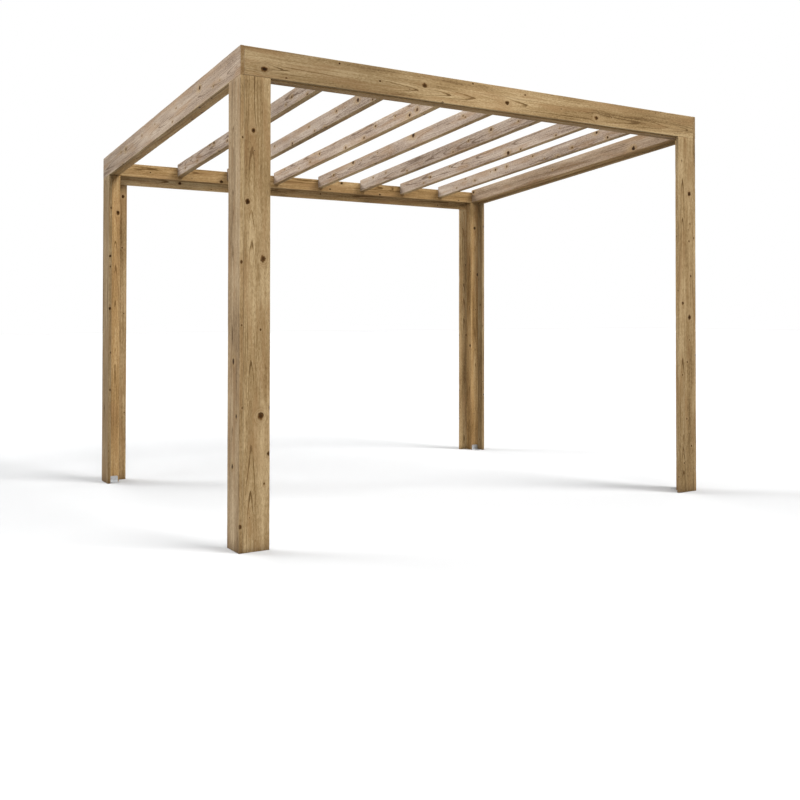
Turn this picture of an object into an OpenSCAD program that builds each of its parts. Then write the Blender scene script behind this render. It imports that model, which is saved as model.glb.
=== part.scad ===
// Wooden pergola: an open frame whose roof falls gently to the rear.
// Four built-up corner posts carry a ring of beams faced with boards, and seven rafters span
// from the front beam to the rear beam. Origin: middle of the footprint, on the ground.
// +X runs to the right along the front, +Y to the rear, +Z up.

/* [Overall] */
// Outside width along the front
frame_w = 3060; // [2400:10:3600]
// Outside depth from front to rear
frame_d = 2530; // [1800:10:3200]
// Height of the front edge
front_h = 2400; // [2100:10:2700]
// Fall of the roof to the rear, in degrees
roof_fall = 4.7; // [2:0.1:7]

/* [Boards] */
// Thickness of the facing boards
board_t = 20; // [16:1:26]
// Height of the fascia boards
fascia_h = 140; // [120:5:180]
// Outside width of a built-up post
post_w = 154; // [130:1:200]
// How far the rear fascia stands below the side fascias
rear_step = 32; // [20:1:50]

/* [Timbers] */
// Square post inside each corner, and thickness of the front and rear beams
core_t = 70; // [60:1:90]
// How far the rear fascia hangs below the rear beam
rear_lap = 52; // [40:1:60]
// How far the front beam shows below the front fascia
beam_show = 6; // [2:1:12]
// Thickness of the side beams
side_beam_t = 65; // [45:1:80]
// Depth of the side beams below the top of the side fascias
side_beam_drop = 23; // [15:1:30]
// How far the side fascias hang below the side beams
side_lap = 17; // [10:1:25]

/* [Rafters] */
// Thickness of a rafter
rafter_t = 40; // [35:1:60]
// Height of a rafter
rafter_h = 85; // [75:1:100]
// Depth of the rafters below the top of the side fascias
rafter_drop = 18; // [12:1:28]
// How far the rafters stand to the right of an even division
rafter_shift = 31; // [-40:1:40]

/* [Foot brackets] */
// Width of a foot bracket
bracket_w = 55; // [40:1:60]
// Height of the leg on the post
bracket_h = 40; // [30:1:60]
// Length of the leg on the ground
bracket_l = 60; // [50:1:80]
// Sheet thickness
bracket_t = 3; // [2:0.5:4]
// Radius of the corners of its legs
bracket_r = 8; // [4:1:12]
// Diameter of the anchor hole
anchor_d = 11; // [9:0.5:14]

/* [Finish] */
// Radius of the eased long edges of the boards and timbers
edge_r = 3; // [1:0.5:4]

/* [Hidden] */
half_w = frame_w / 2;
half_d = frame_d / 2;
fall = tan(roof_fall);
// upright depth of a side fascia, whose face is square to the slope
side_depth = fascia_h / cos(roof_fall);
// the beams follow the height of the fascia boards in front of them
beam_h = fascia_h - rear_lap;
side_beam_h = fascia_h - side_beam_drop - side_lap;
inner_x = half_w - board_t;
inner_y = half_d - board_t;
core_y = inner_y - core_t;
front_fascia_z = front_h - fascia_h;
front_beam_z = front_fascia_z - beam_show;
rear_top = front_h - frame_d * fall - rear_step;
rear_fascia_z = rear_top - fascia_h;
rear_beam_z = rear_top - beam_h;
rafter_pitch = (frame_w - 2 * (board_t + core_t)) / 8;
rafter_x0 = -half_w + board_t + core_t + rafter_shift;
anchor_y = core_y - bracket_t - (bracket_l - bracket_t) * 0.55;
wood = [0.66, 0.51, 0.32];
steel = [0.72, 0.73, 0.75];
arc_steps = 3;

// height of the top line of the side fascias at depth y
function roof(y) = front_h - (y + half_d) * fall;

// quarter arc about a corner centre, from angle a0
function corner(cx, cy, r, a0) = [
    for (i = [0 : arc_steps])
        let (a = a0 + 90 * i / arc_steps)
            [cx + r * cos(a), cy + r * sin(a)]];

// rectangle a by b with eased corners
module section(a, b, r = edge_r) {
    polygon(concat(
        corner(a - r, b - r, r, 0),
        corner(r, b - r, r, 90),
        corner(r, r, r, 180),
        corner(a - r, r, r, 270)));
}

// upright bar: a in X, b in Y, standing on the ground
module upright(x, y, a, b, top) {
    translate([x, y, 0])
        linear_extrude(top)
            section(a, b);
}

// level bar along X: deep in Y, high in Z
module level_bar(x0, x1, y, z, deep, high) {
    translate([x0, y, z])
        rotate([90, 0, 90])
            linear_extrude(x1 - x0)
                section(deep, high);
}

// bar along the fall of the roof, its top face drop below the roof line, its ends cut plumb
module falling_bar(x, y0, y1, drop, wide, high) {
    intersection() {
        translate([x, -half_d, front_h])
            rotate([-roof_fall, 0, 0])
                translate([0, -200, -drop])
                    rotate([-90, 0, 0])
                        linear_extrude(frame_d + 500)
                            section(wide, high);
        translate([x - 10, y0, 0])
            cube([wide + 20, y1 - y0, front_h + 200]);
    }
}

// everything up to the underside of the side fascias
module under_side_fascia(x) {
    translate([x - 10, 0, 0])
        rotate([90, 0, 90])
            linear_extrude(board_t + 20)
                polygon([
                    [-half_d - 50, -10],
                    [half_d + 50, -10],
                    [half_d + 50, roof(half_d + 50) - side_depth],
                    [-half_d - 50, roof(-half_d - 50) - side_depth]]);
}

// square post inside a corner; sx is the side, sy front or rear
module post(sx, sy) {
    color(wood)
        upright(
            sx > 0 ? inner_x - core_t : -inner_x,
            sy > 0 ? core_y : -inner_y,
            core_t, core_t,
            sy > 0 ? rear_beam_z : front_beam_z);
}

// board on the outer side of a post, reaching the corner
module side_board(sx, sy) {
    x = sx > 0 ? inner_x : -half_w;
    color(wood)
        intersection() {
            upright(x, sy > 0 ? half_d - post_w : -half_d, board_t, post_w, front_h);
            under_side_fascia(x);
        }
}

// board on the front or rear of a post, butted to the side board
module face_board(sx, sy) {
    color(wood)
        upright(
            sx > 0 ? half_w - post_w : -inner_x,
            sy > 0 ? inner_y : -half_d,
            post_w - board_t, board_t,
            sy > 0 ? rear_fascia_z : front_fascia_z);
}

module side_fascia(sx) {
    color(wood)
        falling_bar(sx > 0 ? inner_x : -half_w, -half_d, half_d, 0, board_t, fascia_h);
}

module side_beam(sx) {
    color(wood)
        falling_bar(
            sx > 0 ? inner_x - side_beam_t : -inner_x,
            -core_y, core_y,
            side_beam_drop, side_beam_t, side_beam_h);
}

module rafter(k) {
    color(wood)
        falling_bar(rafter_x0 + k * rafter_pitch, -core_y, core_y, rafter_drop, rafter_t, rafter_h);
}

// bent steel angle at the foot of a post, on its inner side, with rounded leg corners
module foot_bracket(sx, sy) {
    r = bracket_t;
    color(steel)
        translate([sx * (inner_x - core_t / 2), sy * core_y, 0])
            mirror([0, sy > 0 ? 1 : 0, 0])
                difference() {
                    intersection() {
                        translate([-bracket_w / 2, 0, 0])
                            rotate([90, 0, 90])
                                linear_extrude(bracket_w)
                                    polygon(concat(
                                        [[0, bracket_h]],
                                        corner(r, r, r, 180),
                                        [[bracket_l, 0], [bracket_l, bracket_t]],
                                        [[bracket_t, bracket_t], [bracket_t, bracket_h]]));
                        translate([-bracket_w / 2, -bracket_l, -1])
                            linear_extrude(bracket_h + 2)
                                section(bracket_w, 2 * bracket_l, bracket_r);
                        translate([-bracket_w / 2, bracket_l + 1, -bracket_h])
                            rotate([90, 0, 0])
                                linear_extrude(bracket_l + 2)
                                    section(bracket_w, 2 * bracket_h, bracket_r);
                    }
                    translate([0, core_y - anchor_y, -1])
                        cylinder(h = bracket_t + 2, d = anchor_d, $fn = 48);
                }
}

module front_left_post() post(-1, -1);
module front_right_post() post(1, -1);
module rear_left_post() post(-1, 1);
module rear_right_post() post(1, 1);
module front_left_side_board() side_board(-1, -1);
module front_right_side_board() side_board(1, -1);
module rear_left_side_board() side_board(-1, 1);
module rear_right_side_board() side_board(1, 1);
module front_left_face_board() face_board(-1, -1);
module front_right_face_board() face_board(1, -1);
module rear_left_face_board() face_board(-1, 1);
module rear_right_face_board() face_board(1, 1);
module front_beam() {
    color(wood)
        level_bar(-inner_x, inner_x, -inner_y, front_beam_z, core_t, beam_h);
}
module rear_beam() {
    color(wood)
        level_bar(-inner_x, inner_x, core_y, rear_beam_z, core_t, beam_h);
}
module left_beam() side_beam(-1);
module right_beam() side_beam(1);
module front_fascia() {
    color(wood)
        level_bar(-inner_x, inner_x, -half_d, front_fascia_z, board_t, fascia_h);
}
module rear_fascia() {
    color(wood)
        level_bar(-inner_x, inner_x, inner_y, rear_fascia_z, board_t, fascia_h);
}
module left_fascia() side_fascia(-1);
module right_fascia() side_fascia(1);
module rafter_1() rafter(1);
module rafter_2() rafter(2);
module rafter_3() rafter(3);
module rafter_4() rafter(4);
module rafter_5() rafter(5);
module rafter_6() rafter(6);
module rafter_7() rafter(7);
module front_left_bracket() foot_bracket(-1, -1);
module front_right_bracket() foot_bracket(1, -1);
module rear_left_bracket() foot_bracket(-1, 1);
module rear_right_bracket() foot_bracket(1, 1);

front_left_post();
front_right_post();
rear_left_post();
rear_right_post();
front_left_side_board();
front_right_side_board();
rear_left_side_board();
rear_right_side_board();
front_left_face_board();
front_right_face_board();
rear_left_face_board();
rear_right_face_board();
front_beam();
rear_beam();
left_beam();
right_beam();
front_fascia();
rear_fascia();
left_fascia();
right_fascia();
rafter_1();
rafter_2();
rafter_3();
rafter_4();
rafter_5();
rafter_6();
rafter_7();
front_left_bracket();
front_right_bracket();
rear_left_bracket();
rear_right_bracket();
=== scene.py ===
import math
import bpy
import numpy as np
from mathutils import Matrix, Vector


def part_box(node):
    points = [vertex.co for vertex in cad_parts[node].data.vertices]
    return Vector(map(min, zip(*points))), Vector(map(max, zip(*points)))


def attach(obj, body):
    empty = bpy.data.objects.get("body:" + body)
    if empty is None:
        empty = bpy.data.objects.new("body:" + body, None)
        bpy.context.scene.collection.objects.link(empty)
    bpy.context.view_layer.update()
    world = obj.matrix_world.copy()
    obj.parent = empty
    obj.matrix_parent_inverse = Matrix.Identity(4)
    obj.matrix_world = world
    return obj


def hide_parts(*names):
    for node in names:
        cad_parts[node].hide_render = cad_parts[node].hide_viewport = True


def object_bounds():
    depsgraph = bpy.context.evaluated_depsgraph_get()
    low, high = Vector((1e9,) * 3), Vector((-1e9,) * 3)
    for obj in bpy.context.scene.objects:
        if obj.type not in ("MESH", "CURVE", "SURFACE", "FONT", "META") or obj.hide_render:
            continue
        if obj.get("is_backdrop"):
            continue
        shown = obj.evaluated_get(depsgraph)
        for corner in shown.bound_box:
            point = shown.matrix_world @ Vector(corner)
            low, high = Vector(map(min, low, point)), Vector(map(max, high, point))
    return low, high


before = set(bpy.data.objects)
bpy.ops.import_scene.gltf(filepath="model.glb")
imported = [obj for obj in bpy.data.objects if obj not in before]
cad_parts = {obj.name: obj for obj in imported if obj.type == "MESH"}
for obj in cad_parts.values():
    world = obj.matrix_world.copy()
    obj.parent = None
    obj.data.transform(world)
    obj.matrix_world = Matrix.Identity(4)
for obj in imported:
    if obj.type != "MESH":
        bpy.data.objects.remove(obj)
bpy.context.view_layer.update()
print("frame loaded:", len(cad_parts), "solids")

roofFall = math.radians(4.7)  # slope of the side fascias, side beams and rafters
mm = 0.001


class Shade:  # one socket of a node tree, with the sums that the finishes use
    def __init__(self, tree, socket=None):
        self.tree, self.socket = tree, socket

    def node(self, kind, settings=None, sockets=None, out=0):
        made = self.tree.nodes.new(kind)
        for key, value in (settings or {}).items():
            setattr(made, key, value)
        for key, value in (sockets or {}).items():
            if isinstance(value, Shade):
                self.tree.links.new(value.socket, made.inputs[key])
            else:
                made.inputs[key].default_value = value
        return Shade(self.tree, made.outputs[out] if made.outputs else None)

    def side(self, out):  # another output of the same node
        return Shade(self.tree, self.socket.node.outputs[out])

    def sum(self, operation, first, second=0.0):
        return self.node("ShaderNodeMath", {"operation": operation}, {0: first, 1: second})

    def __add__(self, other):
        return self.sum("ADD", self, other)

    def __sub__(self, other):
        return self.sum("SUBTRACT", self, other)

    def __rsub__(self, other):
        return self.sum("SUBTRACT", other, self)

    def __mul__(self, other):
        return self.sum("MULTIPLY", self, other)

    def __truediv__(self, other):
        return self.sum("DIVIDE", self, other)

    def __rtruediv__(self, other):
        return self.sum("DIVIDE", other, self)

    def __pow__(self, other):
        return self.sum("POWER", self, other)

    def __abs__(self):
        return self.sum("ABSOLUTE", self)

    __radd__ = __add__
    __rmul__ = __mul__


def rise(value, low, high):  # 0 below low, 1 above high, eased between
    return value.node("ShaderNodeMapRange", {"interpolation_type": "SMOOTHSTEP"},
                      {"Value": value, "From Min": low, "From Max": high})


def bell(first, second):  # exp(-(first squared + second squared))
    return first.sum("EXPONENT", (first * first + second * second) * -1)


def swing(noise):  # noise about its middle
    return noise - 0.5


def weigh(start, weights, marks):  # start plus each mark times its weight
    total = start
    for key, weight in weights.items():
        total = total + marks[key] * weight
    return total


def blend(factor, under, over):  # a mix node's colours are its sockets 6 and 7 and its output 2
    return factor.node("ShaderNodeMix", {"data_type": "RGBA"}, {0: factor, 6: under, 7: over}, 2)


def stretch(vector, scale):  # the vector with each axis scaled on its own
    return vector.node("ShaderNodeVectorMath", {"operation": "MULTIPLY"}, {0: vector, 1: scale})


def scaled(vector, factor):
    return vector.node("ShaderNodeVectorMath", {"operation": "SCALE"}, {0: vector, "Scale": factor})


def cloud(vector, scale=1.0, detail=2.0, rough=0.5, out=0):
    return vector.node("ShaderNodeTexNoise", {"noise_dimensions": "3D"},
                       {"Vector": vector, "Scale": scale, "Detail": detail, "Roughness": rough}, out)


def axes(vector):
    split = vector.node("ShaderNodeSeparateXYZ", None, {0: vector})
    return split, split.side(1), split.side(2)


def gather(first, second, third):
    owner = next(v for v in (first, second, third) if isinstance(v, Shade))
    return owner.node("ShaderNodeCombineXYZ", None, {0: first, 1: second, 2: third})


def read(shade, name, out="Vector"):  # an attribute of the piece's own mesh
    return shade.node("ShaderNodeAttribute", {"attribute_name": name}, out=out)


def newMaterial(name):
    made = bpy.data.materials.new(name)
    made.use_nodes = True
    made.node_tree.nodes.clear()
    return made, Shade(made.node_tree)


def addObject(name, data):
    made = bpy.data.objects.new(name, data)
    bpy.context.scene.collection.objects.link(made)
    return made


def gridQuads(rows, columns, closed=False):  # the columns always close on themselves, the rows only if closed
    i, j = np.meshgrid(np.arange(rows if closed else rows - 1), np.arange(columns), indexing="ij")
    nextI, nextJ = (i + 1) % rows, (j + 1) % columns
    corners = [i * columns + j, i * columns + nextJ, nextI * columns + nextJ, nextI * columns + j]
    return np.stack(corners, -1).reshape(-1, 4)


# Impregnated pine. Growth rings are the distance from a wandering pith line, plus a little for the taper of the
# trunk, divided by the ring width; the grain is pushed aside round each knot before that distance is taken.
pineLook = {
    "dark": (0.105, 0.061, 0.024, 1), "middle": (0.240, 0.158, 0.073, 1), "pale": (0.372, 0.272, 0.148, 1),
    # grey of the bleached broad faces: partly weathering, partly painted sheen and cool light from the side
    "greySheenDark": (0.125, 0.085, 0.060, 1), "greySheenMiddle": (0.280, 0.217, 0.170, 1),
    "greySheenPale": (0.408, 0.335, 0.272, 1),
    "streak": (0.075, 0.040, 0.015, 1), "warm": (0.225, 0.128, 0.056, 1),
    "knotHeart": (0.115, 0.052, 0.015, 1), "knotRim": (0.012, 0.005, 0.001, 1), "halo": (0.150, 0.078, 0.026, 1),
    "ringWidth": 4.6 * mm, "taper": 0.014, "wander": 26 * mm, "apexHalf": 30 * mm,
    "rough": 0.60, "mottle": 1.15, "lines": 0.75, "blush": 0.45,
}
# How the pith drifts and the rings vary: cells in a metre or in a ring, places in the noise, and strengths.
pineRings = {
    "driftCells": 1.15, "driftApart": 7.0, "driftRow": 0.5, "driftDetail": 1.5, "driftRough": 0.45,
    "waver": 0.7, "unevenCells": 0.37, "uneven": 2.2, "wideCells": 0.23, "wideAlong": 0.35, "wideRow": 3.0,
}
# Clouds drawn out along the grain: cells in a metre along it, cells in a metre across it, detail, roughness.
grainClouds = {
    "waver": (7.0, 55.0, 2.0, 0.5), "fibre": (9.0, 520.0, 2.0, 0.6), "strand": (2.4, 95.0, 3.0, 0.6),
    "streak": (1.2, 52.0, 3.0, 0.62), "patch": (1.9, 12.0, 2.5, 0.55), "blush": (3.38, 22.1, 2.0, 0.5),
    "split": (1.0, 38.0, 1.0, 0.5), "splitPlace": (2.2, 9.0, 1.0, 0.5), "mottle": (60.0, 210.0, 3.0, 0.65),
    "fleck": (75.0, 175.0, 2.5, 0.6), "drawn": (2.24, 15.4, 1.0, 0.5),
}
# Clouds about a knot: shift in the noise for each metre along the bar, scale, detail, roughness.
knotClouds = {"uneven": (40.0, 0.9, 3.0, 0.6), "rim": (23.0, 0.6, 1.0, 0.5), "arcs": (17.0, 0.5, 1.0, 0.5)}
# Where each mark starts to show and where it is full; those of a knot are in knot radii, the damp is in metres.
pineRamps = {
    "late": (0.68, 0.92), "lateEnd": (0.94, 1.00), "drawn": (0.33, 0.57), "streak": (0.57, 0.72),
    "fleck": (0.56, 0.72), "split": (0.002, 0.008), "splitPlace": (0.63, 0.70), "blush": (0.47, 0.70),
    "middle": (0.05, 0.58), "pale": (0.52, 1.10), "arris": (0.35, 0.70), "damp": (0.0, 0.07),
    "heart": (0.85, 1.15), "core": (0.42, 0.90), "rimIn": (0.62, 0.90), "rimOut": (1.00, 1.25),
    "rimPlace": (0.40, 0.62), "collarIn": (1.0, 1.5), "collarOut": (1.7, 2.8), "arc": (0.06, 0.26),
    "outerArc": (0.05, 0.24), "arcPlace": (0.42, 0.58),
}
# Weights of the marks in the light and dark figure, in the relief and in the roughness.
pineFigure = {"strand": 0.90, "wide": 0.9, "patch": 1.4, "fibre": 0.55}
pineRelief = {"fibre": 0.50, "late": 0.35, "heart": 0.8, "rim": -0.5, "split": -1.6, "streak": -0.15}
pineRough = {"fibre": 0.22, "late": -0.05, "heart": -0.12, "endCut": 0.18}
# How strongly each mark shows in the colour.
pineMarks = {
    "base": 0.64, "lateFaint": 0.08, "apexLow": 0.22, "streak": 0.36, "streakLostToBleachAndSheen": 0.24, "fleck": 0.28,
    "glow": 0.35, "collar": 0.45, "arcs": 0.45, "outerArc": 0.6, "stain": 0.50, "heartRings": 0.35,
    "arris": 0.45, "endCut": 0.42, "endRings": 0.40, "damp": 0.35, "dampUneven": 0.10, "split": 0.32,
    "bump": 0.42, "bumpHigh": 0.7 * mm, "sheen": 0.03,
}
# Shape of a knot, in knot radii, and the share of each colour: in the palest knot, and what the darkest adds.
knotForm = {
    "push": 1.25, "pushSoft": 0.5, "pushAlong": 3.4, "pushAround": 3.6, "long": 0.84, "uneven": 1.15, "rings": 3.3,
    "stainAlong": 3.6, "stainAround": 1.45, "glowAt": 3.2, "glowAlong": 2.6, "glowAround": 2.2,
    "arcAt": 1.75, "outerArcAt": 2.45,
}
knotShares = {"heart": (0.75, 0.25), "core": (0.15, 0.80), "rim": (0.35, 0.50)}


def ramp(value, key):
    return rise(value, *pineRamps[key])


def grainCloud(flow, key):
    along, across, detail, rough = grainClouds[key]
    return cloud(stretch(flow, (along, across, across)), 1.0, detail, rough)


def pineFinish(name, changes):
    look = {**pineLook, **changes}
    made, paint = newMaterial(name)
    wrap = axes(paint.node("ShaderNodeUVMap", {"uv_map": "wrap"}))
    knot = axes(read(paint, "knot"))
    knotDark = read(paint, "knotDark", "Fac")
    tone, bleachAndSheenMask, seed = axes(read(paint, "mood"))
    arris = read(paint, "arris", "Fac")
    endCut = read(paint, "endCut", "Fac")

    # place beside the nearest knot, in knot radii
    alongKnot = (wrap[0] - knot[0]) / knot[2]
    aroundKnot = (wrap[1] - knot[1]) / knot[2]
    push = knot[2] * knotForm["push"] * (aroundKnot / (abs(aroundKnot) + knotForm["pushSoft"]))
    push = push * bell(alongKnot / knotForm["pushAlong"], aroundKnot / knotForm["pushAround"])
    pushed = scaled(read(paint, "lie"), push)
    flow = paint.node("ShaderNodeVectorMath", {"operation": "SUBTRACT"}, {0: read(paint, "grain"), 1: pushed})
    flowX, flowY, flowZ = axes(flow)

    # rings about the pith
    driftPlace = gather(flowX * pineRings["driftCells"], seed * pineRings["driftApart"], pineRings["driftRow"])
    drift = axes(cloud(driftPlace, 1.0, pineRings["driftDetail"], pineRings["driftRough"], "Color"))
    offY = flowY + swing(drift[0]) * look["wander"]
    offZ = flowZ + swing(drift[1]) * look["wander"]
    radius = (offY * offY + offZ * offZ) ** 0.5
    ring = (radius + flowX * look["taper"]) / look["ringWidth"] + grainCloud(flow, "waver") * pineRings["waver"]
    ring = ring + cloud(gather(ring * pineRings["unevenCells"], seed, 0.0), detail=1.0) * pineRings["uneven"]
    turn = paint.sum("FRACT", ring)
    late = ramp(turn, "late") * (1 - ramp(turn, "lateEnd"))
    wide = cloud(gather(ring * pineRings["wideCells"], flowX * pineRings["wideAlong"], seed + pineRings["wideRow"]))

    # fibres, dark streaks, cloudy colour and drying checks
    fibre, strand, patch, mottle = (grainCloud(flow, key) for key in ("fibre", "strand", "patch", "mottle"))
    streak, fleck, blush = (ramp(grainCloud(flow, key), key) for key in ("streak", "fleck", "blush"))
    split = 1 - ramp(abs(swing(grainCloud(flow, "split"))), "split")
    split = split * ramp(grainCloud(flow, "splitPlace"), "splitPlace")

    # knots: a heart with its own rings, a dark rim and a resin stain drawn out along the grain
    def knotCloud(key):
        shift, scale, detail, rough = knotClouds[key]
        return cloud(gather(alongKnot, aroundKnot, knot[0] * shift), scale, detail, rough)

    away = ((alongKnot * knotForm["long"]) ** 2.0 + aroundKnot ** 2.0) ** 0.5
    away = away + swing(knotCloud("uneven")) * knotForm["uneven"]
    heart, core = 1 - ramp(away, "heart"), 1 - ramp(away, "core")
    heartRings = paint.sum("FRACT", away * knotForm["rings"]) * pineMarks["heartRings"]
    rim = ramp(away, "rimIn") * (1 - ramp(away, "rimOut")) * ramp(knotCloud("rim"), "rimPlace")
    collar = ramp(away, "collarIn") * (1 - ramp(away, "collarOut"))
    stain = bell(alongKnot / knotForm["stainAlong"], aroundKnot / knotForm["stainAround"]) * (1 - endCut)
    glow = bell((alongKnot - knotForm["glowAt"]) / knotForm["glowAlong"], aroundKnot / knotForm["glowAround"])
    arcs = 1 - ramp(abs(away - knotForm["arcAt"]), "arc")
    arcs = arcs + (1 - ramp(abs(away - knotForm["outerArcAt"]), "outerArc")) * pineMarks["outerArc"]
    arcs = arcs * ramp(knotCloud("arcs"), "arcPlace")
    heartShare, coreShare, rimShare = (
        least + knotDark * more for least, more in (knotShares[key] for key in ("heart", "core", "rim")))
    found = {"strand": swing(strand), "wide": swing(wide), "patch": swing(patch), "fibre": swing(fibre), "late": late,
             "heart": heart, "rim": rim, "split": split, "streak": streak, "endCut": endCut}

    # ring lines show most in the flat-sawn middle of a board, and come and go along it
    apex = paint.sum("EXPONENT", offY * offY / -look["apexHalf"] ** 2)
    apex = pineMarks["apexLow"] + (1 - pineMarks["apexLow"]) * apex
    drawn = ramp(grainCloud(flow, "drawn"), "drawn")
    figure = pineMarks["base"] - late * (pineMarks["lateFaint"] + drawn * apex * look["lines"])
    figure = weigh(figure, pineFigure, found) + swing(mottle) * look["mottle"]

    # broad side faces turn paler and greyer: partly weathering, partly painted sheen and cool side light; sawn ends
    # keep their colour
    bleachAndSheen = bleachAndSheenMask * (1 - endCut)
    dark, middle, pale = (blend(bleachAndSheen, look[warm], look[cold]) for warm, cold in (
        ("dark", "greySheenDark"), ("middle", "greySheenMiddle"), ("pale", "greySheenPale")))
    colour = blend(ramp(figure, "middle"), dark, middle)
    colour = blend(ramp(figure, "pale"), colour, pale)
    colour = blend(blush * look["blush"], colour, look["warm"])
    colour = blend(streak * (pineMarks["streak"] - bleachAndSheen * pineMarks["streakLostToBleachAndSheen"]), colour, look["streak"])
    colour = blend(fleck * pineMarks["fleck"] * look["mottle"], colour, look["streak"])
    colour = blend(glow * knotDark * pineMarks["glow"], colour, look["pale"])
    colour = blend(collar * pineMarks["collar"], colour, look["pale"])
    colour = blend(arcs * pineMarks["arcs"], colour, look["halo"])
    colour = blend(stain * pineMarks["stain"], colour, look["halo"])
    colour = blend(heart * heartShare, colour, look["knotHeart"])
    colour = blend(heart * heartRings, colour, look["knotRim"])
    colour = blend(core * coreShare, colour, look["knotRim"])
    colour = blend(rim * rimShare, colour, look["knotRim"])

    # worn arrises, sawn ends, damp feet, checks, and the tone of the single board
    height = axes(paint.node("ShaderNodeTexCoord", None, None, "Object"))[2]
    damp = 1 - ramp(height + swing(patch) * pineMarks["dampUneven"], "damp")
    colour = blend(arris * ramp(strand, "arris") * pineMarks["arris"], colour, look["pale"])
    colour = blend(endCut * (pineMarks["endCut"] + late * pineMarks["endRings"]), colour, look["streak"])
    colour = blend(damp * pineMarks["damp"], colour, look["streak"])
    colour = blend(split * pineMarks["split"], colour, look["knotRim"])
    colour = scaled(colour, 1 + tone)

    bump = paint.node("ShaderNodeBump", None, {
        "Strength": pineMarks["bump"], "Distance": pineMarks["bumpHigh"], "Height": weigh(0.0, pineRelief, found)})
    shader = paint.node("ShaderNodeBsdfPrincipled", None, {
        "Base Color": colour, "Roughness": weigh(look["rough"], pineRough, found), "Normal": bump,
        "Specular IOR Level": pineMarks["sheen"]})
    paint.node("ShaderNodeOutputMaterial", None, {"Surface": shader})
    return made


warmPine = {"dark": (0.108, 0.058, 0.019, 1), "middle": (0.250, 0.152, 0.062, 1), "pale": (0.385, 0.264, 0.130, 1)}
pineFinishes = {
    "post_timber": pineFinish("post timber pine", {**warmPine, "wander": 30 * mm}),
    "facing_board": pineFinish("facing board pine", {"lines": 0.85, "mottle": 1.3}),
    "beam_timber": pineFinish("beam timber pine", {**warmPine, "ringWidth": 5.6 * mm}),
    "rafter_timber": pineFinish("rafter timber pine", {"ringWidth": 4.8 * mm, "rough": 0.62, "mottle": 1.6}),
}
print("finishes: four kinds of pine")

# Every bar is an eased rectangle carried along its length. Each corner is an arc, corner + radius * (arc - corner
# sign), the sides are straight blends from one arc to the next, and the radius wanders along the bar as a sum of
# sines. The ends are cut where the bar's lines meet two planes.
planing = {
    "cell": 13 * mm, "step": 22 * mm, "fewestRows": 8, "ease": 2.8 * mm, "support": 1.2 * mm, "arcSteps": 4,
    "wear": 0.25, "wearLong": 0.8, "dent": 0.9, "dentFrom": 0.75, "dentLong": 0.23, "dentWaves": 3,
    "endBevel": 0.9 * mm, "hollow": 0.22 * mm, "hollowLong": 0.5, "hollowLean": 3.1,
    "bleachAndSheenTurn": (0.3, 0.9),  # only the broad faces are bleached, which also paints on them the sheen and cool light from the side: share of the outward direction
    "trunkPlace": (2, 30), "seeds": (0, 9),
}
ripples = {"waves": 5, "shorter": 0.66, "weaker": 0.8, "gain": 1.6}
cornerSigns = np.array([[-1, -1], [1, -1], [1, 1], [-1, 1]], float)
# Faces of a bar, in the order of its girth: low at -through, high at +across, far at +through, near at -across. The
# sign says which way round the girth a knot goes when it is off the middle of the face.
faceTurn = {"low": 1, "high": 1, "far": -1, "near": -1}
faceOrder = list(faceTurn)
broadFaces = ("low", "far")
noKnot = (-9, 0, 0.01, 0)  # along, round the girth, radius, darkness: too far along to show
knotReach = (0.45, 1.0)  # a knot holds more faces along the grain than across it


def ripple(x, rng, longest, count=ripples["waves"]):  # sum of sines, each shorter than the last, about -1 to 1
    lengths = longest * ripples["shorter"] ** np.arange(count)
    phase = rng.uniform(0, 2 * math.pi, count)
    size = ripples["weaker"] ** np.arange(count)
    return (np.sin(2 * math.pi * x[..., None] / lengths + phase) * size).sum(-1) / size.sum() * ripples["gain"]


def easedOutline(wide, thick, radii):
    steps = planing["arcSteps"]
    turn = np.radians(np.array([180, 270, 0, 90])[:, None] + np.linspace(0, 90, steps + 1))
    arc = np.stack([np.cos(turn), np.sin(turn)], -1)
    half = np.array([wide, thick]) / 2
    arcs = half * cornerSigns[:, None] + radii[:, :, None, None] * (arc - cornerSigns[:, None])
    runs, flags, faces = [], [], []
    for corner in range(4):
        length = (wide, thick)[corner % 2] - 2 * planing["ease"]
        count = max(1, round(length / planing["cell"]))
        edge = min(planing["support"], length / 4)
        part = np.linspace(edge, length - edge, count + 1) / length
        start, end = arcs[:, corner, -1], arcs[:, (corner + 1) % 4, 0]
        runs += [arcs[:, corner], start[:, None] + (end - start)[:, None] * part[:, None]]
        flags += [np.ones(steps + 1), np.zeros(count + 1)]
        faces += [np.full(steps + 1, -1), np.full(count + 1, corner)]
    return np.concatenate(runs, 1), np.concatenate(flags), np.concatenate(faces)


def barLength(bar):
    startAt, endAt = (np.array(at) for at, out in bar["ends"])
    return abs(np.dot(endAt - startAt, bar["along"]))


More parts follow.
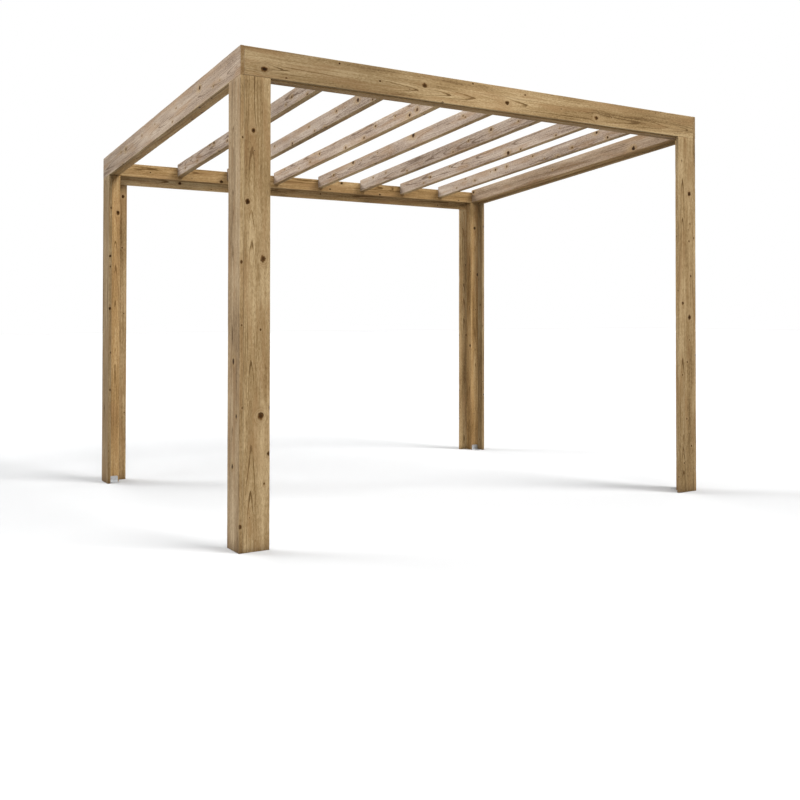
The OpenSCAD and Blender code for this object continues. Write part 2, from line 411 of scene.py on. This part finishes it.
def barMesh(name, bar, rng, knots):
    along, across = (np.array(bar[key], float) for key in ("along", "across"))
    through = np.cross(along, across)
    origin = np.array(bar["origin"], float)
    length = barLength(bar)
    bevel = planing["endBevel"] / length
    rows = max(planing["fewestRows"], round(length / planing["step"]))
    tau = np.concatenate([[0], np.linspace(bevel, 1 - bevel, rows), [1]])

    wear = np.stack([ripple(tau * length, rng, planing["wearLong"]) for corner in range(4)], 1)
    dents = np.stack([ripple(tau * length, rng, planing["dentLong"], planing["dentWaves"]) for corner in range(4)], 1)
    dents = np.clip(dents - planing["dentFrom"], 0, 1)
    radii = planing["ease"] * (1 + planing["wear"] * wear + planing["dent"] * dents)
    outline, curved, faceOf = easedOutline(bar["wide"], bar["thick"], radii)
    count = outline.shape[1]
    mean = outline.mean(0)
    tangent = np.roll(mean, -1, 0) - np.roll(mean, 1, 0)
    tangent /= np.linalg.norm(tangent, axis=1)[:, None]
    outward = np.stack([tangent[:, 1], -tangent[:, 0]], 1)
    pace = np.linalg.norm(np.roll(mean, -1, 0) - mean, axis=1)
    around = np.concatenate([[0], np.cumsum(pace)])
    girth = around[-1]

    # faint hollows from planing, only ever inwards, and a small bevel on both ends
    waves = ripple(tau[:, None] * length + around[:-1] * planing["hollowLean"], rng, planing["hollowLong"])
    hollow = planing["hollow"] * (0.5 + 0.5 * np.clip(waves, -1, 1))
    inward = np.where((curved > 0)[None], 0, hollow)
    inward[[0, -1]] += planing["endBevel"]
    outline = outline - inward[..., None] * outward
    base = origin + outline[..., :1] * across + outline[..., 1:] * through
    start, end = (((np.array(at, float) - base) @ np.array(out, float)) / np.dot(along, out)
                  for at, out in bar["ends"])
    reach = start + (end - start) * tau[:, None]
    points = base + reach[..., None] * along
    rings = len(tau)

    quads = gridQuads(rings, count)
    caps = [list(range(count))[::-1], list(range((rings - 1) * count, rings * count))]
    mesh = bpy.data.meshes.new(name)
    mesh.from_pydata(points.reshape(-1, 3).tolist(), [], quads.tolist() + caps)
    smooth = np.ones(len(quads) + len(caps), bool)
    smooth[-len(caps):] = False
    mesh.polygons.foreach_set("use_smooth", smooth)

    # the wrap map runs along the bar and round its girth
    i, j = np.meshgrid(np.arange(rings - 1), np.arange(count), indexing="ij")
    nextJ = (j + 1) % count
    corners = np.stack([
        np.stack([reach[i, j], around[j]], -1), np.stack([reach[i, nextJ], around[j + 1]], -1),
        np.stack([reach[i + 1, nextJ], around[j + 1]], -1), np.stack([reach[i + 1, j], around[j]], -1)], 2)
    capMap = np.concatenate([np.stack([reach[0], around[:-1]], -1)[::-1], np.stack([reach[-1], around[:-1]], -1)])
    mesh.uv_layers.new(name="wrap").data.foreach_set(
        "uv", np.concatenate([corners.reshape(-1, 2), capMap]).astype(np.float32).ravel())

    def store(label, kind, domain, values):
        field = "vector" if kind == "FLOAT_VECTOR" else "value"
        mesh.attributes.new(label, kind, domain).data.foreach_set(field, np.asarray(values, np.float32).ravel())

    # place in the trunk, lie of the surface, arris, and mood: tone from end to end, bleaching with painted sheen and
    # cool side light, seed
    pithA, pithB = bar["pith"]
    shift = rng.uniform(*planing["trunkPlace"])
    store("grain", "FLOAT_VECTOR", "POINT",
          np.stack([reach + shift, outline[..., 0] - pithA, outline[..., 1] - pithB], -1))
    store("lie", "FLOAT_VECTOR", "POINT",
          np.broadcast_to(np.concatenate([np.zeros((count, 1)), tangent], 1), (rings, count, 3)))
    store("arris", "FLOAT", "POINT", np.broadcast_to(curved, (rings, count)))
    mood = np.zeros((rings, count, 3))
    mood[..., 0] = np.interp(tau, np.linspace(0, 1, len(bar["tones"])), bar["tones"])[:, None]
    # bleaching of the broad faces, which is partly painted sheen and cool side light
    mood[..., 1] = bar["bleachAndSheen"] * np.interp(np.abs(outward[:, 1]), planing["bleachAndSheenTurn"], (0, 1))
    mood[..., 2] = rng.uniform(*planing["seeds"])
    store("mood", "FLOAT_VECTOR", "POINT", mood)

    # each face keeps the nearest knot: place along, place round the girth, radius
    middles = {face: around[:-1][faceOf == k].mean() for k, face in enumerate(faceOrder)}
    spots = np.array([[place, middles[face] + faceTurn[face] * off, size * mm, dark]
                      for place, face, off, size, dark in knots] or [noKnot], float)
    spots = np.concatenate([spots + [0, lap * girth, 0, 0] for lap in (-1, 0, 1)])
    gap = ((corners.mean(2).reshape(-1, 1, 2) - spots[:, :2]) / spots[:, 2:3]) * knotReach
    nearest = np.concatenate([spots[(gap ** 2).sum(-1).argmin(1)], [noKnot] * len(caps)])
    store("knot", "FLOAT_VECTOR", "FACE", nearest[:, :3])
    store("knotDark", "FLOAT", "FACE", nearest[:, 3])
    store("endCut", "FLOAT", "FACE", ~smooth)
    mesh.update()
    return mesh


# Ways a bar can lie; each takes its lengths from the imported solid's box.
def standing(node, across):
    low, high = (np.array(v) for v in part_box(node))
    middle = (low + high) / 2
    size = np.abs((high - low) @ np.array([across, np.cross((0, 0, 1), across)], float).T)
    return {"along": (0, 0, 1), "across": across, "origin": (middle[0], middle[1], low[2]),
            "wide": size[0], "thick": size[1],
            "ends": [((middle[0], middle[1], low[2]), (0, 0, 1)), ((middle[0], middle[1], high[2]), (0, 0, 1))]}


def standingUnderSlope(node, across):  # the top follows the underside of the side fascia
    bar = standing(node, across)
    low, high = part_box(node)
    bar["ends"][1] = ((0, low[1], high[2]), (0, math.sin(roofFall), math.cos(roofFall)))
    return bar


def level(node):
    low, high = (np.array(v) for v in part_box(node))
    middle = (low + high) / 2
    return {"along": (1, 0, 0), "across": (0, 0, 1), "origin": (low[0], middle[1], middle[2]),
            "wide": high[2] - low[2], "thick": high[1] - low[1],
            "ends": [((low[0], 0, 0), (1, 0, 0)), ((high[0], 0, 0), (1, 0, 0))]}


def falling(node):  # top line starts at the front upper edge and falls to the rear; both ends are plumb
    low, high = (np.array(v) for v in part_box(node))
    run = high[1] - low[1]
    deep = (high[2] - low[2] - run * math.tan(roofFall)) * math.cos(roofFall)
    up = np.array([0, math.sin(roofFall), math.cos(roofFall)])
    top = np.array([(low[0] + high[0]) / 2, low[1], high[2]])
    return {"along": (0, math.cos(roofFall), -math.sin(roofFall)), "across": up, "origin": top - up * deep / 2,
            "wide": deep, "thick": high[0] - low[0],
            "ends": [((0, low[1], 0), (0, 1, 0)), ((0, high[1], 0), (0, 1, 0))]}


# Seeded knots are spread along the bar, each a little off its place, and keep clear of the listed ones.
strewing = {"span": (0.04, 0.96), "offPlace": 0.8, "offMiddle": 0.42, "shrink": (0.6, 1.0), "darkness": (0.1, 0.95),
            "clear": 70 * mm, "seedStep": 1000}
pinKnots = (0.9, (2.0, 3.5))  # the smallest, in a metre of face, and the range of their radii in mm


def strewKnots(bar, rng, faces, perMetre, sizes, given):
    length = barLength(bar)
    off = strewing["offMiddle"]
    made = []
    for face in faces:
        across = bar["wide"] if face in broadFaces else bar["thick"]
        count = rng.poisson(perMetre * length)
        slots = max(count, 1)
        places = np.linspace(*strewing["span"], slots + 1)[:-1] * length
        places = places + rng.uniform(0, strewing["offPlace"], slots) * length / slots
        made += [(place, face, rng.uniform(-off, off) * across,
                  rng.uniform(*sizes) * rng.uniform(*strewing["shrink"]), rng.uniform(*strewing["darkness"]))
                 for place in places[:count]]
    return [knot for knot in made
            if all(knot[1] != other[1] or abs(knot[0] - other[0]) > strewing["clear"] for other in given)]


def addBar(node, slot, bar, seed, knots, looks):
    rng, knotRng = np.random.default_rng(seed), np.random.default_rng(seed + strewing["seedStep"])
    bar.update(looks)
    setFaces = [face for face in faceOrder if face in {knot[1] for knot in knots}]
    bareFaces = [face for face in faceOrder if face not in setFaces]
    strewn = []
    for faces, kind in ((bareFaces, "bareFaces"), (setFaces, "setFaces"), (broadFaces, "pins")):
        strewn += strewKnots(bar, knotRng, faces, *looks[kind], knots)
    piece = addObject(node + "_timber", barMesh(node + "_timber", bar, rng, knots + strewn))
    piece.data.materials.append(pineFinishes[slot])
    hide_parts(node)
    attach(piece, "root")


def addFrom(group, node, look, slot, bar, seed):  # a bar with the tone, the bleaching with painted sheen, and the knots that its group holds
    looks = {**look, "tones": group["tones"].get(node, [0.0]), "bleachAndSheen": group["bleachAndSheenByBar"].get(node, 0.0)}
    addBar(node, slot, bar, seed, group["knots"].get(node, []), looks)


def addRing(group, slot):  # the four members round the roof
    for number, (node, lies) in enumerate(group["lies"].items()):
        addFrom(group, node, group["look"], slot, lies(node), group["seed"] + number)


# Built-up corner posts: a square timber with one board on its outer side and one on its front or rear.
# The large knots that show from the front are listed, to about a centimetre, and the rest are seeded.
# A knot is (metres along, face, metres from the middle of the face, radius in mm, darkness). Seeded ones are given
# as how many in a metre and the range of their radii, on faces with no listed knot and on those with one.
cornerPosts = {
    "timber": {"pith": (0.006, -0.012), "bareFaces": (2.0, (4, 9)), "setFaces": (1.5, (4, 8)), "pins": pinKnots},
    "sideBoard": {"pith": (0.012, 0.055), "bareFaces": (2.2, (4, 9)), "setFaces": (1.8, (4, 8)), "pins": pinKnots},
    "faceBoard": {"pith": (-0.030, 0.040), "bareFaces": (2.2, (4, 11)), "setFaces": (2.6, (4, 8)), "pins": pinKnots},
    "seed": 110, "seedStep": 10,
    "tones": {
        "front_left_side_board": [-0.22, -0.17, -0.16], "front_right_side_board": [-0.12],
        "rear_left_side_board": [-0.34], "rear_right_side_board": [-0.22],
        "front_left_face_board": [-0.17, -0.16, -0.16, -0.15], "front_right_face_board": [-0.30, -0.20, -0.13, -0.14],
        "rear_left_face_board": [0.02], "rear_left_post": [0.16], "rear_right_post": [0.10]},
    # the outer side boards are bleached, partly as painted sheen and cool side light
    "bleachAndSheenByBar": {"front_left_side_board": 0.22, "rear_left_side_board": 0.12},
    "knots": {
        "front_left_face_board": [
            (2.00, "low", -0.02, 9, 0.9), (1.66, "low", -0.05, 11, 0.9), (1.39, "low", 0.03, 13, 0.6),
            (0.64, "low", 0.02, 14, 0.7), (0.46, "low", 0.06, 8, 0.6)],
        "front_left_side_board": [
            (0.90, "far", 0.00, 11, 0.95), (0.64, "far", -0.04, 9, 0.8), (0.40, "far", 0.01, 9, 0.9)],
        "front_right_face_board": [
            (1.90, "low", 0.03, 12, 0.95), (1.20, "low", -0.03, 8, 0.8), (1.11, "low", 0.03, 12, 0.9)],
        "rear_left_post": [(1.82, "low", 0.02, 11, 0.95)],
        "rear_left_side_board": [(1.52, "near", 0.00, 7, 0.9), (1.17, "near", 0.00, 8, 0.95)],
        "rear_left_face_board": [(1.94, "low", 0.04, 9, 0.9)],
        "rear_right_post": [
            (1.86, "low", 0.00, 10, 0.95), (1.47, "low", 0.03, 9, 0.95), (0.87, "near", -0.02, 10, 0.95)],
    },
}
postMembers = (("_post", "timber", "post_timber", standing, (1, 0, 0)),
               ("_side_board", "sideBoard", "facing_board", standingUnderSlope, (0, 1, 0)),
               ("_face_board", "faceBoard", "facing_board", standing, (1, 0, 0)))
postCorners = ("front_left", "front_right", "rear_left", "rear_right")
for number, corner in enumerate(postCorners):
    for order, (ending, kind, slot, stand, across) in enumerate(postMembers):
        node = corner + ending
        seed = cornerPosts["seed"] + cornerPosts["seedStep"] * order + number
        addFrom(cornerPosts, node, cornerPosts[kind], slot, stand(node, across), seed)
print("corner posts: 4, each of 3 pieces")

# Fascia boards round the roof: level at front and rear, falling along the sides.
fasciaBoards = {
    "look": {"pith": (-0.020, -0.048), "bareFaces": (2.0, (4, 11)), "setFaces": (2.6, (3, 7)), "pins": pinKnots},
    "lies": {"front_fascia": level, "rear_fascia": level, "left_fascia": falling, "right_fascia": falling},
    "seed": 141,
    "tones": {
        "front_fascia": [-0.23, -0.28, -0.29, -0.09, 0.00, -0.03, -0.07, -0.07, -0.07, -0.07],
        "rear_fascia": [0.26], "left_fascia": [-0.02, -0.02, -0.09, -0.31], "right_fascia": [0.02]},
    "bleachAndSheenByBar": {"left_fascia": 0.75},
    "knots": {
        "front_fascia": [
            (0.10, "far", -0.03, 13, 1.0), (1.00, "far", 0.01, 12, 0.7), (1.54, "far", -0.02, 11, 0.8),
            (2.20, "far", -0.03, 11, 0.7)],
        "left_fascia": [(0.58, "low", 0.02, 10, 0.95), (1.98, "low", 0.01, 11, 0.9)],
        "rear_fascia": [(0.50, "far", -0.03, 10, 0.9)],
    },
}
addRing(fasciaBoards, "facing_board")
print("fascia boards: 4")

# Beams behind the fascia boards.
beamTimbers = {
    "look": {"pith": (0.015, -0.030), "bareFaces": (1.6, (5, 10)), "setFaces": (2.2, (5, 9)), "pins": pinKnots},
    "lies": {"front_beam": level, "rear_beam": level, "left_beam": falling, "right_beam": falling},
    "seed": 151,
    "tones": {"front_beam": [-0.12], "rear_beam": [-0.12]},
    "bleachAndSheenByBar": {"left_beam": 0.6, "right_beam": 0.6},
    "knots": {
        "right_beam": [(0.40, "low", -0.03, 13, 1.0), (2.33, "low", 0.03, 11, 0.9)],
        "rear_beam": [(0.78, "far", -0.03, 10, 0.9), (1.74, "far", 0.03, 9, 0.9)],
    },
}
addRing(beamTimbers, "beam_timber")
print("beams: 4")

# Seven rafters from the front beam to the rear beam, numbered from the left.
rafterTimbers = {
    "look": {"bleachAndSheen": 0.9, "bareFaces": (2.4, (6, 12)), "setFaces": (2.8, (6, 10)), "pins": (1.2, (4, 7))},
    "seed": 160,
    "tones": [-0.05, 0.03, 0.20, 0.12, 0.00, 0.09, 0.05],
    "piths": [(0.010, 0.050), (-0.020, -0.045), (0.030, 0.030), (0.000, -0.055), (-0.015, 0.040), (0.020, 0.060),
              (-0.030, -0.040)],
    "knots": {
        2: [(0.33, "low", 0.01, 11, 0.85)], 3: [(0.38, "low", -0.02, 9, 0.95)],
        4: [(0.94, "low", 0.03, 14, 0.95), (1.78, "low", 0.03, 11, 0.85)],
        6: [(0.89, "low", -0.03, 13, 0.9)], 7: [(0.39, "low", 0.03, 9, 0.95)],
    },
}
for number, (tone, pith) in enumerate(zip(rafterTimbers["tones"], rafterTimbers["piths"]), 1):
    node = "rafter_%d" % number
    looks = {**rafterTimbers["look"], "tones": [tone], "pith": pith}
    addBar(node, "rafter_timber", falling(node), rafterTimbers["seed"] + number,
           rafterTimbers["knots"].get(number, []), looks)
print("rafters: 7")

# Zinc-dipped steel: a patchwork of spangle cells, dulled in clouds, with pale bloom in the hollows.
zincLook = {
    "dullCell": (0.86, 0.87, 0.89), "brightCell": (1.08, 1.09, 1.10),  # times the grey of the piece
    "bloom": (0.52, 0.52, 0.51, 1), "bloomFrom": (0.50, 0.75), "bloomShare": 0.6,
    "pit": (0.22, 0.21, 0.20, 1), "pitFrom": (0.62, 0.80), "pitShare": 0.35,
    "fogCells": 60.0, "fogDetail": 3.0, "fineCells": 900.0,
    "rough": 0.30, "cellRough": 0.14, "fogRough": 0.16, "metal": 0.85, "bump": 0.25, "bumpHigh": 0.2 * mm,
}


def zincFinish(name, grey, spangle):
    made, paint = newMaterial(name)
    place = paint.node("ShaderNodeTexCoord", None, None, "Object")
    cell = axes(paint.node("ShaderNodeTexVoronoi", {"feature": "F1"}, {"Vector": place, "Scale": spangle}, "Color"))
    fog = cloud(place, zincLook["fogCells"], zincLook["fogDetail"])
    fine = cloud(place, zincLook["fineCells"])
    dull, bright = ((*(grey * part for part in zincLook[key]), 1) for key in ("dullCell", "brightCell"))
    colour = blend(cell[0], dull, bright)
    colour = blend(rise(fog, *zincLook["bloomFrom"]) * zincLook["bloomShare"], colour, zincLook["bloom"])
    colour = blend(rise(fine, *zincLook["pitFrom"]) * zincLook["pitShare"], colour, zincLook["pit"])
    rough = zincLook["rough"] + cell[1] * zincLook["cellRough"] + fog * zincLook["fogRough"]
    bump = paint.node("ShaderNodeBump", None, {
        "Strength": zincLook["bump"], "Distance": zincLook["bumpHigh"], "Height": (fine + cell[0]) * 0.5})
    shader = paint.node("ShaderNodeBsdfPrincipled", None, {
        "Base Color": colour, "Roughness": rough, "Normal": bump, "Metallic": zincLook["metal"]})
    paint.node("ShaderNodeOutputMaterial", None, {"Surface": shader})
    return made


zincSheet = zincFinish("zinc dipped sheet", grey=0.48, spangle=130.0)
zincScrew = zincFinish("zinc plated screw", grey=0.40, spangle=700.0)

# Foot bracket: a sheet cut with rounded corners and one anchor hole, bent once. In the flat, the sheet is a blend
# from the circle of the hole to the outline of the blank; the loop goes out over the under face, up the edge, back
# over the upper face and down the hole. Bending rolls the part beyond the fold round an arc.
footBracket = {
    "cornerRadius": 8 * mm, "foldRadius": 4 * mm, "sheet": 3 * mm, "holeRadius": 5.5 * mm,
    "holeFromPost": 34.35 * mm, "edge": 0.35 * mm, "turnSteps": 192, "outSteps": 26, "outGrowth": 1.15,
    "farthest": 200 * mm, "halvings": 40, "sharpFrom": math.radians(32),
}
# Pan-head screws with a cross recess, two on the upright leg.
bracketScrews = {
    "headRadius": 4.6 * mm, "headHigh": 2.6 * mm, "rimShare": 0.42, "flatness": 2.6,
    "apart": 28 * mm, "height": 25 * mm,
    "slotWide": 0.75 * mm, "slotLong": 2.7 * mm, "slotDeep": 1.5 * mm, "slotEnd": 1.25, "slotFade": 0.45,
    "slotShallow": 0.5, "rings": 22, "turns": 64, "firstRing": 0.02, "ringGrowth": 0.8, "sharpFrom": math.radians(40),
}


def foldSheet(flatX, flatS, lift, tall):
    # flatS is 0 at the top of the upright leg; y is away from the post and z is up
    radius = footBracket["foldRadius"]
    straight = tall - radius
    bendLong = radius * math.pi / 2
    turn = np.clip((flatS - straight) / bendLong, 0, 1) * math.pi / 2
    beyond = np.clip(flatS - straight - bendLong, 0, None)
    above = np.clip(straight - flatS, 0, None)
    y = radius - (radius - lift) * np.cos(turn) + beyond
    z = radius - (radius - lift) * np.sin(turn) + above
    return np.stack([flatX, y, z], -1)


def bracketPoints(wide, tall, deep):
    fold, corner, thick, edge, hole = (
        footBracket[key] for key in ("foldRadius", "cornerRadius", "sheet", "edge", "holeRadius"))
    blank = tall - fold + fold * math.pi / 2 + deep - fold
    holeS = blank - (deep - footBracket["holeFromPost"])
    theta = np.linspace(0, 2 * math.pi, footBracket["turnSteps"], endpoint=False)
    # outline of the blank seen from the hole: the ray in each direction meets a rectangle with rounded corners
    direction = np.stack([np.cos(theta), np.sin(theta)], -1)
    middle = np.array([0, blank / 2 - holeS])
    half = np.array([wide / 2, blank / 2])
    near, far = np.zeros(len(theta)), np.full(len(theta), footBracket["farthest"])
    for halving in range(footBracket["halvings"]):  # halve the interval until the ray ends on the outline
        reach = (near + far) / 2
        offset = np.abs(direction * reach[:, None] - middle) - (half - corner)
        outside = np.linalg.norm(np.clip(offset, 0, None), axis=1) + np.clip(offset.max(1), None, 0) - corner
        near, far = np.where(outside < 0, reach, near), np.where(outside < 0, far, reach)
    steps = footBracket["outSteps"]
    part = np.linspace(0, 1, steps) ** footBracket["outGrowth"]
    outwards = hole + edge + (near[:, None] - hole - 2 * edge) * part
    # small bevels: two more rows at the outer edge and two at the hole
    outer = near[:, None] + np.zeros((1, 2))
    inner = np.full((len(theta), 2), hole)
    distance = np.concatenate([outwards, outer, outwards[:, ::-1], inner], 1)
    lift = np.concatenate([np.zeros(steps), [edge, thick - edge], np.full(steps, thick), [thick - edge, edge]])
    flatX = distance * direction[:, :1]
    flatS = holeS + distance * direction[:, 1:]
    return foldSheet(flatX, flatS, np.broadcast_to(lift, flatX.shape), tall)


def steelMesh(name, points, faces, sharpFrom):
    mesh = bpy.data.meshes.new(name)
    mesh.from_pydata(points.reshape(-1, 3).tolist(), [], faces)
    mesh.polygons.foreach_set("use_smooth", np.ones(len(faces), bool))
    mesh.set_sharp_from_angle(angle=sharpFrom)
    mesh.update()
    return mesh


def plateMesh(name, points, flip):
    quads = gridQuads(*points.shape[:2], closed=True)
    return steelMesh(name, points, (quads[:, ::-1] if flip else quads).tolist(), footBracket["sharpFrom"])


def screwPoints():
    # height over the leg: a flattened dome, less a cross whose arms fade at their ends
    head, turns = bracketScrews["headRadius"], bracketScrews["turns"]
    share = np.linspace(bracketScrews["firstRing"], 1, bracketScrews["rings"])[:, None] ** bracketScrews["ringGrowth"]
    angle = np.linspace(0, 2 * math.pi, turns, endpoint=False)[None]
    x, y = head * share * np.cos(angle), head * share * np.sin(angle)
    part = np.broadcast_to(share, x.shape)
    bulge = np.sqrt(np.clip(1 - part ** bracketScrews["flatness"], 0, 1))
    dome = bracketScrews["headHigh"] * (bracketScrews["rimShare"] + (1 - bracketScrews["rimShare"]) * bulge)
    long, wide = bracketScrews["slotLong"], bracketScrews["slotWide"]
    arm = np.minimum(np.maximum(np.abs(x) / long, np.abs(y) / wide), np.maximum(np.abs(y) / long, np.abs(x) / wide))
    cross = np.clip((bracketScrews["slotEnd"] - arm) / bracketScrews["slotFade"], 0, 1)
    recess = bracketScrews["slotDeep"] * cross * (1 - part * bracketScrews["slotShallow"])
    top = np.stack([x, y, dome - recess], -1)
    foot = np.stack([x[-1], y[-1], np.zeros(turns)], -1)[None]
    return np.concatenate([top, foot])


def screwMesh(name, points):
    rows, columns = points.shape[:2]
    quads = gridQuads(rows, columns)[:, [0, 3, 2, 1]]  # the other way round, so that they face outwards
    caps = [list(range(columns)), list(range((rows - 1) * columns, rows * columns))[::-1]]
    return steelMesh(name, points, quads.tolist() + caps, bracketScrews["sharpFrom"])


def addSteel(name, mesh, finish):
    piece = addObject(name, mesh)
    mesh.materials.append(finish)
    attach(piece, "root")
    return piece


for corner in postCorners:
    name = corner + "_bracket"
    low, high = (np.array(v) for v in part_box(corner + "_bracket"))
    wide, deep, tall = high - low
    facing = 1 if corner.startswith("front") else -1  # the flat leg points to the middle of the pergola
    postFace = low[1] if facing > 0 else high[1]
    origin = np.array([(low[0] + high[0]) / 2, postFace, low[2]])
    points = bracketPoints(wide, tall, deep) * [1, facing, 1] + origin
    plate = addSteel(name + "_plate", plateMesh(name + "_plate", points, facing > 0), zincSheet)
    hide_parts(corner + "_bracket")
    onLeg = np.array([[-facing, 0, 0], [0, 0, 1], [0, facing, 0]])  # a head's height points off the post
    for hand, side in (("left", -1), ("right", 1)):
        seat = origin + [side * bracketScrews["apart"] / 2, facing * footBracket["sheet"], bracketScrews["height"]]
        addSteel(name + "_screw_" + hand, screwMesh(corner + "_screw", seat + screwPoints() @ onLeg), zincScrew)
print("foot brackets: 4, with 8 screws")

# Plain pale floor, white surroundings and six wide soft suns. A bearing runs from +X towards +Y, and the light comes
# from there, so many degrees above the floor.
studio = {
    "floorSeen": (0.493, 0.493, 0.493, 1), "floorBounce": (0.370, 0.370, 0.370, 1), "floorHalf": 60.0,
    "floorRough": 0.85, "floorUneven": 0.1, "floorCells": 3.0, "floorSheen": 0.1,
    "white": (1.0, 1.0, 1.0, 1), "worldStrength": 0.14,
    "lights": {
        "rearLeft": {"bearing": 133, "rise": 27, "spread": 24, "power": 2.9, "colour": (0.98, 1.0, 1.02)},
        "rear": {"bearing": 102, "rise": 50, "spread": 30, "power": 1.3, "colour": (1.0, 1.0, 1.0)},
        "leftFill": {"bearing": 190, "rise": 7, "spread": 50, "power": 2.45, "colour": (0.97, 1.0, 1.04)},
        "rightFill": {"bearing": 12, "rise": 8, "spread": 60, "power": 1.4, "colour": (1.0, 1.0, 1.0)},
        "frontRight": {"bearing": -56, "rise": 46, "spread": 27, "power": 4.1, "colour": (1.0, 1.0, 1.0)},
        "front": {"bearing": -102, "rise": 24, "spread": 26, "power": 1.45, "colour": (1.0, 1.0, 1.0)},
    },
}


def addFloor():
    half = studio["floorHalf"]
    mesh = bpy.data.meshes.new("floor")
    mesh.from_pydata([(-half, -half, 0), (half, -half, 0), (half, half, 0), (-half, half, 0)], [], [(0, 1, 2, 3)])
    floor = addObject("floor", mesh)
    made, paint = newMaterial("pale floor")
    place = paint.node("ShaderNodeTexCoord", None, None, "Object")
    rough = studio["floorRough"] + swing(cloud(place, studio["floorCells"])) * studio["floorUneven"]
    # the floor is shown paler than it is to the light it throws back, as in a studio cut-out
    seen, bounced = (
        paint.node("ShaderNodeBsdfPrincipled", None, {
            "Base Color": studio[key], "Roughness": rough, "Specular IOR Level": studio["floorSheen"]})
        for key in ("floorSeen", "floorBounce"))
    direct = paint.node("ShaderNodeLightPath", None, None, "Is Camera Ray")
    shown = paint.node("ShaderNodeMixShader", None, {0: direct, 1: bounced, 2: seen})
    paint.node("ShaderNodeOutputMaterial", None, {"Surface": shown})
    mesh.materials.append(made)
    floor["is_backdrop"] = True


def addLight(name, light):
    data = bpy.data.lights.new(name, "SUN")
    data.angle = math.radians(light["spread"])
    data.energy, data.color = light["power"], light["colour"]
    lamp = addObject(name, data)
    lamp.rotation_euler = (math.radians(90 - light["rise"]), 0, math.radians(light["bearing"] + 90))


def addWorld():
    world = bpy.data.worlds.new("white studio")
    bpy.context.scene.world = world
    world.use_nodes = True
    world.node_tree.nodes.clear()
    air = Shade(world.node_tree)
    lit, seen = (air.node("ShaderNodeBackground", None, {"Color": studio["white"], "Strength": strength})
                 for strength in (studio["worldStrength"], 1.0))
    direct = air.node("ShaderNodeLightPath", None, None, "Is Camera Ray")
    mixed = air.node("ShaderNodeMixShader", None, {0: direct, 1: lit, 2: seen})
    air.node("ShaderNodeOutputWorld", None, {"Surface": mixed})


addFloor()
addWorld()
for name, light in studio["lights"].items():
    addLight(name, light)
bpy.context.scene.view_settings.view_transform = "Standard"
print("studio: floor, surroundings and", len(studio["lights"]), "lights")

# Camera solved from the straight edges of the frame: place in metres, angles in degrees, lens and sensor in mm, shift
# as shares of the picture.
photoCamera = {"at": (-3.2612, -5.7643, 1.1125), "tilt": 0.8547, "heading": -34.0054, "lens": 44.906,
               "shift": (-0.08645, -0.12245), "sensor": 36.0, "farClip": 200.0}


def addCamera():
    data = bpy.data.cameras.new("camera")
    data.sensor_width, data.lens = photoCamera["sensor"], photoCamera["lens"]
    data.shift_x, data.shift_y = photoCamera["shift"]
    data.clip_end = photoCamera["farClip"]
    camera = addObject("camera", data)
    camera.location = photoCamera["at"]
    camera.rotation_euler = (math.radians(90 + photoCamera["tilt"]), 0, math.radians(photoCamera["heading"]))
    bpy.context.scene.camera = camera


addCamera()
print("camera at the photo's angle")

low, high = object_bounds()
